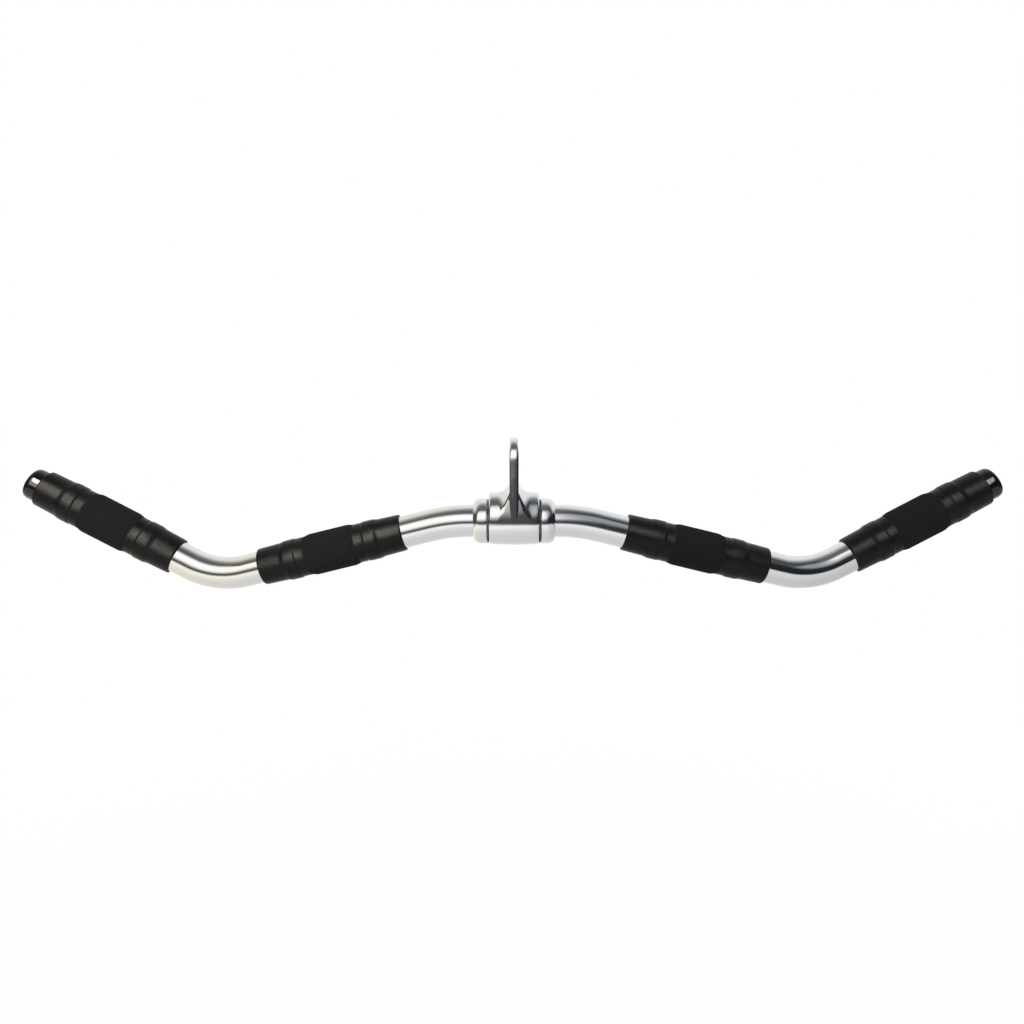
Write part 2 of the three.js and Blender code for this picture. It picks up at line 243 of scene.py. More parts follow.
class CableBarStudio(PropertyGroup):
    """The camera, the lamps and what stands round the bar."""

    distance: length("Distance", "From the camera to the bar", 0.64)
    elevation: angle("Elevation", "How high the camera looks down from", 7.5)
    azimuth: angle("Azimuth", "How far left of square the camera stands", 0.25)
    roll: angle("Roll", "How far the photograph is turned", 0.04)
    focal_pixels: FloatProperty(
        name="Focal length", description="Focal length in pixels of the photograph", default=819
    )
    photo_width: FloatProperty(
        name="Photo width", description="Width of the photograph in pixels", default=1024
    )
    floor_drop: length("Floor drop", "From the origin down to the floor", 1.0)
    floor_colour: colour("Floor", "Colour of the floor", (0.93, 0.93, 0.93))
    warm: colour("Warm", "Tint of what metal reflects on the left", (1.0, 0.95, 0.84))
    cool: colour("Cool", "Tint of what metal reflects on the right", (0.94, 0.97, 1.0))
    # The room's colours are painted brightness: the room glows with them, and no lamp lights it.
    wall: colour("Wall", "Colour of the wall behind the camera", (0.085, 0.086, 0.088))
    dark: colour("Dark", "Colour of that wall on the right", (0.022, 0.023, 0.025))
    ceiling: colour("Ceiling", "Colour of the grey ceiling", (0.155, 0.16, 0.17))
    ceiling_right: colour(
        "Ceiling right", "Colour of the ceiling on the right", (0.08, 0.085, 0.095)
    )


class CableBarSettings(PropertyGroup):
    """Everything that a user would change on the bar."""

    tube: PointerProperty(type=CableBarTube)
    grip: PointerProperty(type=CableBarGrip)
    hanger: PointerProperty(type=CableBarHanger)
    collar: PointerProperty(type=CableBarCollar)
    finish: PointerProperty(type=CableBarFinish)
    studio: PointerProperty(type=CableBarStudio)


def settings():
    return bpy.context.scene.cable_bar


# The centre line of the tube


def centre_legs():
    """The right half of the centre line, from the middle outwards, as pairs of length and turn."""
    tube = settings().tube
    grip = settings().grip
    elbow_turn = tube.slope + tube.rise
    return [
        (tube.straight, 0),
        (tube.slope_bend * tube.slope, -tube.slope),
        (tube.bend_to_grip + grip.length + tube.grip_to_elbow, 0),
        (tube.elbow * elbow_turn, elbow_turn),
        (tube.elbow_to_grip + grip.length + tube.grip_to_end, 0),
    ]


def leg_ends():
    """How far from the middle each leg of the centre line ends."""
    ends = [0]
    for run, _ in centre_legs():
        ends.append(ends[-1] + run)
    return ends[1:]


def place_along(distance):
    """The point at a distance from the tube's middle, and the heading there. Left is negative."""
    side = math.copysign(1, distance)
    left = abs(distance)
    heading = across = rise = 0
    for run, turn in centre_legs():
        part = min(left, run)
        if turn:
            following = heading + turn * part / run
            across += run / turn * (math.sin(following) - math.sin(heading))
            rise -= run / turn * (math.cos(following) - math.cos(heading))
            heading = following
        else:
            across += part * math.cos(heading)
            rise += part * math.sin(heading)
        left -= part
    return Vector((side * across, 0, AXIS_HEIGHT + rise)), side * heading


def seat_on_tube(distance):
    """Puts a piece made round X on the tube. On the left it is turned to face the left end."""
    point, heading = place_along(distance)
    half_turn = math.pi if distance < 0 else 0
    return Matrix.Translation(point) @ Matrix.Rotation(half_turn - heading, 4, "Y")


def seat_on_axis(sign):
    """Puts a piece made round X on the swivel axis, on the right or turned round to the left."""
    half_turn = math.pi if sign < 0 else 0
    return Matrix.Translation((0, 0, AXIS_HEIGHT)) @ Matrix.Rotation(half_turn, 4, "Y")


def bore_radius():
    """The radius of the bore of a piece that sits on the tube."""
    return settings().tube.radius + settings().tube.seat


# Mesh tools


def only(kind, geometry):
    return [item for item in geometry if isinstance(item, kind)]


def wire(geometry):
    """The vertices and edges among what an operator gives back, without its faces."""
    return [item for item in geometry if not isinstance(item, bmesh.types.BMFace)]


def corner(along, radius, size, start, end, run=None):
    """Points of an outline round a corner, from one direction to another, in quarter turns from X.

    The corner is a quarter of an ellipse where it runs further along X than out from it.
    """
    points = []
    for step in range(CORNER_STEPS + 1):
        turn = QUARTER * (start + (end - start) * step / CORNER_STEPS)
        points.append((along + (run or size) * math.cos(turn), radius + size * math.sin(turn)))
    return points


def turned(outline, steps=TURNED_STEPS, closed=True):
    """Spins an outline of pairs, how far along X and how far from it, into a closed mesh."""
    made = bmesh.new()
    verts = [made.verts.new((along, 0, radius)) for along, radius in outline]
    edges = [made.edges.new(ends) for ends in pairwise(verts)]
    if closed:
        edges.append(made.edges.new((verts[-1], verts[0])))
    bmesh.ops.spin(
        made,
        geom=verts + edges,
        cent=(0, 0, 0),
        axis=(1, 0, 0),
        angle=math.tau,
        steps=steps,
        use_merge=True,
    )
    close_up(made)
    return made


def close_up(made):
    """Merges doubles and turns the faces outwards."""
    bmesh.ops.remove_doubles(made, verts=made.verts, dist=MERGE)
    bmesh.ops.recalc_face_normals(made, faces=made.faces)


def to_object(made, name, place=None):
    """Makes an object of a bmesh. Its place goes into the mesh, so the object stays at the origin."""
    if place:
        bmesh.ops.transform(made, matrix=place, verts=made.verts)
    mesh = bpy.data.meshes.new(name)
    made.to_mesh(mesh)
    made.free()
    piece = bpy.data.objects.new(name, mesh)
    bpy.context.scene.collection.objects.link(piece)
    return piece


def carve(piece, cutters):
    """Cuts other objects out of a piece and removes them."""
    for cutter in cutters:
        cut = piece.modifiers.new(cutter.name, "BOOLEAN")
        cut.operation = "DIFFERENCE"
        cut.solver = "EXACT"
        cut.object = cutter
    bpy.context.view_layer.update()
    evaluated = piece.evaluated_get(bpy.context.evaluated_depsgraph_get())
    carved = bpy.data.meshes.new_from_object(evaluated)
    piece.modifiers.clear()
    uncut = piece.data
    piece.data = carved
    bpy.data.meshes.remove(uncut)
    for cutter in cutters:
        bpy.data.objects.remove(cutter)
    carved.name = piece.name
    made = bmesh.new()
    made.from_mesh(carved)
    bmesh.ops.remove_doubles(made, verts=made.verts, dist=MERGE)
    bmesh.ops.dissolve_degenerate(made, edges=made.edges, dist=MERGE)
    made.to_mesh(carved)
    made.free()


def shiny_pieces(side):
    """The grips and the plug of one side, which the lamps of that side shine on."""
    name = f"Shiny pieces {side}"
    return bpy.data.collections.get(name) or bpy.data.collections.new(name)


def hand_over(piece, body, node, slot, material, smooth=True):
    """Gives a finished piece its shading, material and body, and hides the CAD node that it stands for.
    """
    if smooth:
        piece.data.shade_smooth()
        piece.data.set_sharp_from_angle(angle=SHARP_ANGLE)
    piece.data.materials.clear()
    piece.data.materials.append(material)
    for side in SIDES:
        if slot in SHINY_SLOTS and side in node:
            shiny_pieces(side).objects.link(piece)
    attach(piece, body)
    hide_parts(node)


# Shader tools


def add_node(tree, kind, inputs=None, **values):
    """A node with its values set and its inputs linked or set."""
    node = tree.nodes.new(kind)
    for name, value in values.items():
        setattr(node, name, value)
    for name, value in (inputs or {}).items():
        if isinstance(value, bpy.types.NodeSocket):
            tree.links.new(value, node.inputs[name])
        else:
            node.inputs[name].default_value = value
    return node


def math_node(tree, operation, first, second=0.0):
    return add_node(
        tree, "ShaderNodeMath", {0: first, 1: second}, operation=operation
    ).outputs[0]


def times(tree, first, second):
    return math_node(tree, "MULTIPLY", first, second)


def map_range(tree, value, low, high, to_low=0.0, to_high=1.0, interpolation="SMOOTHSTEP"):
    """Carries a value from one range to another."""
    return add_node(
        tree,
        "ShaderNodeMapRange",
        {"Value": value, "From Min": low, "From Max": high, "To Min": to_low, "To Max": to_high},
        interpolation_type=interpolation,
    ).outputs["Result"]


def here_on(tree):
    """Where a point is, in the coordinates of its object."""
    return add_node(tree, "ShaderNodeTexCoord").outputs["Object"]


def noise(tree, vector, scale, detail=2.0, roughness=0.5):
    return add_node(
        tree,
        "ShaderNodeTexNoise",
        {"Vector": vector, "Scale": scale, "Detail": detail, "Roughness": roughness},
    ).outputs["Fac"]


def mix_colour(tree, factor, first, second):
    """Mixes two colours, each a socket or three numbers.

    A Mix node has sockets of one name for each kind of value, so they are given by number.
    """
    colours = [
        part if isinstance(part, bpy.types.NodeSocket) else (*part, 1) for part in (first, second)
    ]
    return add_node(
        tree, "ShaderNodeMix", {0: factor, 6: colours[0], 7: colours[1]}, data_type="RGBA"
    ).outputs[2]


def new_group(name, inputs, outputs):
    """A shader node group with its sockets, and its input and output nodes."""
    tree = bpy.data.node_groups.new(name, "ShaderNodeTree")
    for label, kind, value in inputs:
        socket = tree.interface.new_socket(label, in_out="INPUT", socket_type=kind)
        socket.default_value = value
    for label, kind in outputs:
        tree.interface.new_socket(label, in_out="OUTPUT", socket_type=kind)
    entry = tree.nodes.new("NodeGroupInput").outputs
    leave = tree.nodes.new("NodeGroupOutput").inputs
    return tree, entry, leave


def place_group(tree, group, inputs):
    node = add_node(tree, "ShaderNodeGroup", node_tree=group)
    for name, value in inputs.items():
        node.inputs[name].default_value = value
    return node.outputs


def new_material(name, slots):
    """A material with a Principled shader, whose constant sockets are set from a table."""
    material = bpy.data.materials.new(name)
    material.use_nodes = True
    tree = material.node_tree
    shader = tree.nodes["Principled BSDF"]
    for label, value in slots.items():
        shader.inputs[label].default_value = value
    return material, tree, shader


def bump(tree, shader, height, distance):
    """Feeds a height into the shader's normal."""
    node = add_node(tree, "ShaderNodeBump", {"Height": height, "Distance": distance})
    tree.links.new(node.outputs["Normal"], shader.inputs["Normal"])


# Finishes

# A scale counts features to the metre, and a height is in metres. What is smudged, scratched,
# mottled or roughened is added to a roughness, and what is smoothed is taken off it.

SMUDGE_FROM = 0.42
SMUDGE_FULL = 0.7
SCRATCH_MIDDLE = 0.5
SCRATCHED_SCALE = 70.0
SCRATCHED_FROM = 0.5
SCRATCHED_FULL = 0.68
MOTTLE_FROM = 0.35
MOTTLE_FULL = 0.7
CHROME_SMUDGED = 0.05
CHROME_SCRATCHED = 0.1
CHROME_SCRATCH_SHARE = 0.01
CHROME_WAVE_SCALE = 55.0
CHROME_WAVE_HEIGHT = 0.0002
RUBBER_GRAIN_SCALE = 1800.0
RUBBER_GRAIN_HEIGHT = 0.00006
RUBBER_MOTTLE_SCALE = 45.0
RUBBER_MOTTLED = 0.08
RUBBER_DUST_SHARE = 0.22
RUBBER_VALLEY_SHARE = 0.25
PLASTIC_SMUDGED = 0.04
PLASTIC_SCRATCHED = 0.08
PLASTIC_STRETCH = (600, 600, 600)
PLASTIC_WAVE_SCALE = 160.0
PLASTIC_WAVE_HEIGHT = 0.00004
PLAIN_MOTTLE_SCALE = 120.0
PLAIN_SMOOTHED = 0.06
PLAIN_ROUGHENED = 0.1
PLAIN_DARK_SHARE = 0.6


def handling_marks():
    """Smudges and fine scratches, as masks. The higher Stretch is on an axis, the shorter a scratch."""
    name = "Handling marks"
    if name in bpy.data.node_groups:
        return bpy.data.node_groups[name]
    tree, entry, leave = new_group(
        name,
        [
            ("Stretch", "NodeSocketVector", (40, 900, 900)),
            ("Smudge Scale", "NodeSocketFloat", 22.0),
            ("Line Width", "NodeSocketFloat", 0.012),
        ],
        [("Smudge", "NodeSocketFloat"), ("Scratch", "NodeSocketFloat")],
    )
    here = here_on(tree)
    smudge = noise(tree, here, entry["Smudge Scale"], detail=4.0, roughness=0.6)
    tree.links.new(map_range(tree, smudge, SMUDGE_FROM, SMUDGE_FULL), leave["Smudge"])
    stretched = add_node(
        tree, "ShaderNodeVectorMath", {0: here, 1: entry["Stretch"]}, operation="MULTIPLY"
    ).outputs["Vector"]
    field = noise(tree, stretched, scale=1.0, detail=3.0, roughness=0.55)
    off_line = math_node(tree, "ABSOLUTE", math_node(tree, "SUBTRACT", field, SCRATCH_MIDDLE))
    line = math_node(tree, "LESS_THAN", off_line, entry["Line Width"])
    scratched = noise(tree, here, SCRATCHED_SCALE)
    patch = map_range(tree, scratched, SCRATCHED_FROM, SCRATCHED_FULL)
    tree.links.new(times(tree, line, patch), leave["Scratch"])
    return tree


def surface_grain():
    """A fine even grain and a broad mottle, as a height and a mask."""
    name = "Surface grain"
    if name in bpy.data.node_groups:
        return bpy.data.node_groups[name]
    tree, entry, leave = new_group(
        name,
        [("Grain Scale", "NodeSocketFloat", 2500.0), ("Mottle Scale", "NodeSocketFloat", 60.0)],
        [("Height", "NodeSocketFloat"), ("Mottle", "NodeSocketFloat")],
    )
    here = here_on(tree)
    grain = noise(tree, here, entry["Grain Scale"], detail=3.0, roughness=0.6)
    tree.links.new(grain, leave["Height"])
    mottle = noise(tree, here, entry["Mottle Scale"], detail=4.0, roughness=0.6)
    tree.links.new(map_range(tree, mottle, MOTTLE_FROM, MOTTLE_FULL), leave["Mottle"])
    return tree


def wear(tree, shader, marks, clean, smudged, scratched):
    """Adds to the roughness of a clean surface where it is smudged or scratched."""
    smudges = map_range(tree, marks["Smudge"], 0.0, 1.0, clean, clean + smudged)
    scratches = times(tree, marks["Scratch"], scratched)
    tree.links.new(math_node(tree, "ADD", smudges, scratches), shader.inputs["Roughness"])


def chrome_material(name, stretch, waviness):
    """Bright plating with smudges and fine scratches, and the soft wave of what is under it."""
    finish = settings().finish
    material, tree, shader = new_material(
        name,
        {"Base Color": (*finish.chrome, 1), "Metallic": 1.0, "Roughness": finish.chrome_roughness},
    )
    marks = place_group(tree, handling_marks(), {"Stretch": stretch})
    wear(tree, shader, marks, finish.chrome_roughness, CHROME_SMUDGED, CHROME_SCRATCHED)
    wave = times(tree, noise(tree, here_on(tree), CHROME_WAVE_SCALE, detail=1.0), waviness)
    scratch = times(tree, marks["Scratch"], CHROME_SCRATCH_SHARE)
    bump(tree, shader, math_node(tree, "SUBTRACT", wave, scratch), CHROME_WAVE_HEIGHT)
    return material


def rubber_material():
    """Moulded rubber: satin where it is smooth, matt and a little dusty in the barrel's texture."""
    finish = settings().finish
    material, tree, shader = new_material(
        "Moulded rubber",
        {
            "Base Color": (*finish.rubber, 1),
            "Roughness": finish.cuff_roughness,
            "Specular IOR Level": finish.rubber_gloss,
        },
    )
    scales = {"Grain Scale": RUBBER_GRAIN_SCALE, "Mottle Scale": RUBBER_MOTTLE_SCALE}
    grain = place_group(tree, surface_grain(), scales)
    texture, valley = [
        add_node(tree, "ShaderNodeAttribute", attribute_name=name).outputs["Fac"]
        for name in ("texture", "valley")
    ]
    roughness = map_range(
        tree, texture, 0.0, 1.0, finish.cuff_roughness, finish.barrel_roughness, "LINEAR"
    )
    uneven = times(tree, grain["Mottle"], RUBBER_MOTTLED)
    tree.links.new(math_node(tree, "ADD", roughness, uneven), shader.inputs["Roughness"])
    all_over = times(tree, grain["Mottle"], RUBBER_DUST_SHARE)
    in_valleys = times(tree, valley, RUBBER_VALLEY_SHARE)
    dust = math_node(tree, "ADD", all_over, in_valleys)
    dusty = mix_colour(tree, dust, finish.rubber, finish.rubber_dust)
    tree.links.new(dusty, shader.inputs["Base Color"])
    bump(tree, shader, grain["Height"], RUBBER_GRAIN_HEIGHT)
    return material


def plastic_material():
    """Glossy moulded plastic, with the smudges and fine scratches of handling."""
    finish = settings().finish
    material, tree, shader = new_material(
        "Glossy plastic",
        {
            "Base Color": (*finish.plastic, 1),
            "Roughness": finish.plastic_roughness,
            "Specular IOR Level": finish.plastic_gloss,
        },
    )
    marks = place_group(tree, handling_marks(), {"Stretch": PLASTIC_STRETCH})
    wear(tree, shader, marks, finish.plastic_roughness, PLASTIC_SMUDGED, PLASTIC_SCRATCHED)
    wave = noise(tree, here_on(tree), PLASTIC_WAVE_SCALE, detail=1.0)
    bump(tree, shader, wave, PLASTIC_WAVE_HEIGHT)
    return material


def plain_material(name, base, roughness, metallic, grain_scale, grain_height):
    """A plain finish with a fine grain and an uneven gloss."""
    material, tree, shader = new_material(
        name, {"Base Color": (*base, 1), "Metallic": metallic, "Roughness": roughness}
    )
    scales = {"Grain Scale": grain_scale, "Mottle Scale": PLAIN_MOTTLE_SCALE}
    grain = place_group(tree, surface_grain(), scales)
    smoothest = roughness - PLAIN_SMOOTHED
    roughest = roughness + PLAIN_ROUGHENED
    uneven = map_range(tree, grain["Mottle"], 0.0, 1.0, smoothest, roughest)
    tree.links.new(uneven, shader.inputs["Roughness"])
    darker = tuple(PLAIN_DARK_SHARE * part for part in base)
    mottled = mix_colour(tree, grain["Mottle"], base, darker)
    tree.links.new(mottled, shader.inputs["Base Color"])
    bump(tree, shader, grain["Height"], grain_height)
    return material


# The tube and its plugs


def carry_on(made, front, near, far):
    """Extrudes the front ring along a straight run of the tube, or spins it round a bend."""
    near_point, near_heading = place_along(near)
    far_point, far_heading = place_along(far)
    turn = far_heading - near_heading
    chord = far_point - near_point
    if abs(turn) < MERGE:
        grown = bmesh.ops.extrude_edge_only(made, edges=only(bmesh.types.BMEdge, front))["geom"]
        bmesh.ops.translate(made, verts=only(bmesh.types.BMVert, grown), vec=chord)
        return wire(grown)
    radius = chord.length / (2 * math.sin(turn / 2))
    to_centre = Vector((-math.sin(near_heading), 0, math.cos(near_heading)))
    spun = bmesh.ops.spin(
        made,
        geom=front,
        cent=near_point + radius * to_centre,
        axis=(0, -1, 0),
        angle=turn,
        steps=BEND_STEPS,
    )
    return wire(spun["geom_last"])


def bent_tube():
    """Carries a ring along the whole centre line, and gives the skin its wall."""
    tube = settings().tube
    stops = leg_ends()
    stops[-1] -= tube.plug_head + tube.seat
    stations = [-stop for stop in reversed(stops)] + stops
    point, heading = place_along(stations[0])
    made = bmesh.new()
    start = Matrix.Translation(point) @ Matrix.Rotation(QUARTER - heading, 4, "Y")
    bmesh.ops.create_circle(
        made, cap_ends=False, radius=tube.radius, segments=TUBE_SIDES, matrix=start
    )
    front = made.verts[:] + made.edges[:]
    for near, far in pairwise(stations):
        front = carry_on(made, front, near, far)
    close_up(made)
    bmesh.ops.solidify(made, geom=made.faces[:], thickness=tube.wall)
    return made


def end_plug():
    """A plug whose head ends at the origin. Its seat on the tube is hidden in the grip's mouth."""
    tube = settings().tube
    spigot = tube.radius - tube.wall - tube.seat
    head = tube.radius - tube.plug_inset
    seat = -tube.plug_head
    drop = tube.plug_drop
    shoulder = tube.plug_shoulder
    outline = [
        (seat - tube.plug_spigot, 0),
        (seat - tube.plug_spigot, spigot),
        (seat, spigot),
        (seat, head),
        *corner(-shoulder, head - drop, drop, 1, 0, shoulder),
        (0, 0),
    ]
    return turned(outline, closed=False)


class CABLEBAR_OT_tube(Operator):
    """Make the bent tube"""

    bl_idname = "cable_bar.tube"
    bl_label = "Bent Tube"

    def execute(self, context):
        piece = to_object(bent_tube(), "bent_tube")
        material = chrome_material("Chrome on tube", stretch=(30, 700, 700), waviness=0.5)
        hand_over(piece, "bar", "bar_tube", "chrome", material)
        return {"FINISHED"}


class CABLEBAR_OT_plugs(Operator):
    """Make the round plugs that close the tube's ends"""

    bl_idname = "cable_bar.plugs"
    bl_label = "End Plugs"

    def execute(self, context):
        material = plastic_material()
        for side, sign in SIDES.items():
            seat = seat_on_tube(sign * leg_ends()[-1])
            piece = to_object(end_plug(), f"{side}_plug", seat)
            hand_over(piece, "bar", f"end_plug_{side}", "black_plastic", material)
        return {"FINISHED"}


# The grips


def eased(part):
    """A share from 0 to 1, made to start and end softly."""
    return part * part * (3 - 2 * part)


def ramp(start, run, low, high):
    """A soft step of an outline from one radius to another."""
    parts = [step / RAMP_STEPS for step in range(RAMP_STEPS + 1)]
    return [(start + run * part, low + (high - low) * eased(part)) for part in parts]


def barrel_reach():
    """How far the textured barrel reaches from the grip's middle."""
    grip = settings().grip
    plain = grip.cuff_length + grip.band_rise + grip.band_length + grip.waist_fall
    return grip.length / 2 - plain - grip.waist_length


def barrel_share(along):
    """How much of its full rise the barrel has at a place along the grip."""
    return min(1, (barrel_reach() - abs(along)) / settings().grip.barrel_rise)


def row_count():
    """How many rows of the texture fit the barrel: an even number, as near the pitch as can be."""
    return 2 * round(barrel_reach() / settings().grip.knurl_pitch)


def barrel_rows():
    """The rows of the texture, as points of the outline, over the barrel and its two rises."""
    grip = settings().grip
    tube = settings().tube
    reach = barrel_reach()
    rows = row_count()
    points = []
    for row in range(rows + 1):
        along = reach * (2 * row / rows - 1)
        rise = eased(barrel_share(along))
        cover = grip.waist_cover + (grip.barrel_cover - grip.waist_cover) * rise
        points.append((along, tube.radius + cover))
    return points


def grip_outline():
    grip = settings().grip
    radius = settings().tube.radius
    start = -grip.length / 2
    cuff_end = start + grip.cuff_length
    band_end = cuff_end + grip.band_rise + grip.band_length
    mouth = radius + grip.mouth_cover
    half = [
        *corner(start + grip.mouth_round, mouth - grip.mouth_round, grip.mouth_round, 2, 1),
        *ramp(cuff_end, grip.band_rise, radius + grip.cuff_cover, radius + grip.band_cover),
        *ramp(band_end, grip.waist_fall, radius + grip.band_cover, radius + grip.waist_cover),
    ]
    other_half = [(-along, out) for along, out in reversed(half)]
    bore = bore_radius()
    return [(start, bore), *half, *barrel_rows(), *other_half, (-start, bore)]


def knurl(made):
    """Presses a diamond texture into the barrel: every other point goes in, and facets join them."""
    reach = barrel_reach()
    rows = row_count()
    bore = bore_radius()
    texture = made.verts.layers.float.new("texture")
    valley = made.verts.layers.float.new("valley")
    pressed = []
    textured = set()
    for vert in made.verts:
        along = vert.co.x
        out = math.hypot(vert.co.y, vert.co.z)
        if abs(along) > reach - MERGE or out < bore + MERGE:
            continue
        textured.add(vert)
        vert[texture] = 1
        row = round((along / reach + 1) * rows / 2)
        column = round(math.atan2(vert.co.z, vert.co.y) / math.tau * GRIP_STEPS)
        if (row + column) % 2:
            pressed_share = barrel_share(along)
            inward = settings().grip.knurl_depth * pressed_share / out
            vert.co.y -= vert.co.y * inward
            vert.co.z -= vert.co.z * inward
            vert[valley] = pressed_share
            pressed.append(vert)
    bmesh.ops.connect_verts(made, verts=pressed)
    return textured


def rubber_grip():
    """A grip whose texture keeps its facets and whose other faces are smooth."""
    made = turned(grip_outline(), GRIP_STEPS)
    textured = knurl(made)
    for face in made.faces:
        face.smooth = not all(vert in textured for vert in face.verts)
    return made


class CABLEBAR_OT_grips(Operator):
    """Make the four moulded rubber grips"""

    bl_idname = "cable_bar.grips"
    bl_label = "Rubber Grips"

    def execute(self, context):
        tube = settings().tube
        half_grip = settings().grip.length / 2
        ends = leg_ends()
        middles = {
            "inner": ends[1] + tube.bend_to_grip + half_grip,
            "outer": ends[3] + tube.elbow_to_grip + half_grip,
        }
        material = rubber_material()
        for side, sign in SIDES.items():
            for row, middle in middles.items():
                seat = seat_on_tube(sign * middle)
                piece = to_object(rubber_grip(), f"{row}_grip_{side}", seat)
                hand_over(piece, "bar", f"grip_{row}_{side}", "rubber", material, smooth=False)
        return {"FINISHED"}


# The hanger


def flank_lean():
    """How far the eye's flanks lean, as they widen from its head down to the sleeve."""
    hanger = settings().hanger
    return math.asin((hanger.radius - hanger.head_radius) / -AXIS_HEIGHT)


def head_end():
    """The angle from straight up, seen from the axis, at which the eye's round head ends."""
    hanger = settings().hanger
    lean = flank_lean()
    up = hanger.head_radius * math.sin(lean) - AXIS_HEIGHT
    return math.atan2(hanger.head_radius * math.cos(lean), up)


def eye_radius(turn):
    """The eye's outline round the axis: a round head and straight flanks down to the sleeve."""
    hanger = settings().hanger
    height = -AXIS_HEIGHT
    if turn < head_end():
        off = height * math.sin(turn)
        return height * math.cos(turn) + math.sqrt(max(0, hanger.head_radius**2 - off**2))
    if turn < QUARTER - flank_lean():
        return hanger.radius / math.sin(turn + flank_lean())
    return hanger.radius


def oval_radius(turn):
    """The sleeve's outline, which bulges towards the top."""
    hanger = settings().hanger
    top = hanger.radius + (hanger.shoulder_rise if turn < QUARTER else 0)
    return 1 / math.hypot(math.sin(turn) / hanger.radius, math.cos(turn) / top)


def soft_min(first, second, blend):
    """The smaller of two values, with the corner between them rounded off."""
    if abs(first - second) >= blend:
        return min(first, second)
    part = 0.5 + (second - first) / (2 * blend)
    return second + (first - second) * part - blend * part * (1 - part)


def hanger_radius(turn, along, edge, foot):
    """How far from the axis the casting's skin is, at an angle from straight up.

    The edge is how far the eye's edge is rounded off there, and the foot is how high the fillet is.
    """
    hanger = settings().hanger
    crown = hanger.crown_drop * (along / hanger.half_length) ** 2
    proud = max(0, eye_radius(turn) - oval_radius(turn))
    rounded = proud - min(edge, hanger.edge_round_share * proud)
    if foot > 0:
        blend = min(hanger.blend, proud, foot)
        raised = soft_min(rounded, foot, blend) if blend > MERGE else min(rounded, foot)
    else:
        raised = foot
    return oval_radius(turn) - crown + raised


def quarter(steps):
    """Pairs of how far out and how far down, round a quarter of a circle."""
    turns = [QUARTER * step / steps for step in range(steps + 1)]
    return [(math.sin(turn), 1 - math.cos(turn)) for turn in turns]


def hanger_stations():
    """From the middle to the right end: how far along, how rounded the edge, how high the foot."""
    hanger = settings().hanger
    face = hanger.thickness / 2
    end_start = hanger.half_length - hanger.end_round
    fillet = hanger.foot_fillet
    stations = [
        (face - hanger.edge_round * (1 - out), hanger.edge_round * drop, math.inf)
        for out, drop in quarter(EDGE_STEPS)
    ]
    stations += [
        (face + fillet * drop, hanger.edge_round, fillet * (1 - out))
        for out, drop in quarter(FILLET_STEPS)
    ]
    plain = end_start - face - fillet
    stations += [
        (face + fillet + plain * step / CROWN_STEPS, 0, 0) for step in range(1, CROWN_STEPS)
    ]
    stations += [
        (end_start + hanger.end_round * out, 0, -hanger.end_round * drop)
        for out, drop in quarter(EDGE_STEPS)
    ]
    return stations


def hanger_turns():
    """The angles from straight up at which the outline has points, all the way round."""
    hanger = settings().hanger
    flank_end = QUARTER - flank_lean()
    half = []
    for step in range(HEAD_STEPS):
        turn = flank_end * step / HEAD_STEPS
        up = hanger.head_radius * math.cos(turn) - AXIS_HEIGHT
        half.append(math.atan2(hanger.head_radius * math.sin(turn), up))
    span = flank_end - head_end()
    half += [head_end() + span * step / FLANK_STEPS for step in range(FLANK_STEPS)]
    span = math.pi - flank_end
    half += [flank_end + span * step / BELLY_STEPS for step in range(BELLY_STEPS + 1)]
    return half + [-turn for turn in reversed(half[1:-1])]


def lofted_hanger():
    """Extrudes a ring from end to end, shaping it to the outline at each station."""
    right = hanger_stations()
    left = [(-along, edge, foot) for along, edge, foot in reversed(right)]
    turns = hanger_turns()
    made = bmesh.new()
    around = made.verts.layers.float.new("around")
    bmesh.ops.create_circle(made, cap_ends=False, radius=1, segments=len(turns))
    front = made.verts[:] + made.edges[:]
    for vert, turn in zip(made.verts, turns):
        vert[around] = turn
    ends = [only(bmesh.types.BMEdge, front)]
    for number, (along, edge, foot) in enumerate(left + right):
        if number:
            edges = only(bmesh.types.BMEdge, front)
            front = bmesh.ops.extrude_edge_only(made, edges=edges)["geom"]
        for vert in only(bmesh.types.BMVert, front):
            turn = vert[around]
            radius = hanger_radius(abs(turn), along, edge, foot)
            up = AXIS_HEIGHT + radius * math.cos(turn)
            vert.co = (along, radius * math.sin(turn), up)
    ends.append(only(bmesh.types.BMEdge, front))
    for edges in ends:
        bmesh.ops.edgeloop_fill(made, edges=edges)
    close_up(made)
    return made


def eye_hole():
    """The space of the hole, with its round lips, made round X through the origin."""
    hanger = settings().hanger
    face = hanger.thickness / 2
    mouth = hanger.hole_radius + hanger.hole_round
    lip = corner(face - hanger.hole_round, mouth, hanger.hole_round, 3, 4)
    reach = 2 * face
    half = [*lip, (reach, mouth), (reach, 0)]
    outline = [(-along, radius) for along, radius in reversed(half)] + half
    return turned(outline, closed=False)


def sleeve_bore():
    hanger = settings().hanger
    reach = hanger.half_length + hanger.end_round
    outline = [(-reach, 0), (-reach, hanger.bore), (reach, hanger.bore), (reach, 0)]
    return turned(outline, closed=False)


class CABLEBAR_OT_hanger(Operator):
    """Make the cast hanger that the cable's hook clips to"""

    bl_idname = "cable_bar.hanger"
    bl_label = "Swivel Hanger"

    def execute(self, context):
        piece = to_object(lofted_hanger(), "hanger_casting")
        hole = to_object(eye_hole(), "eye_hole_cutter")
        bore = to_object(sleeve_bore(), "bore_cutter", seat_on_axis(1))
        carve(piece, [hole, bore])
        material = chrome_material("Chrome on casting", stretch=(500, 500, 120), waviness=1.6)
        hand_over(piece, "hanger", "swivel_hanger", "chrome", material)
        return {"FINISHED"}


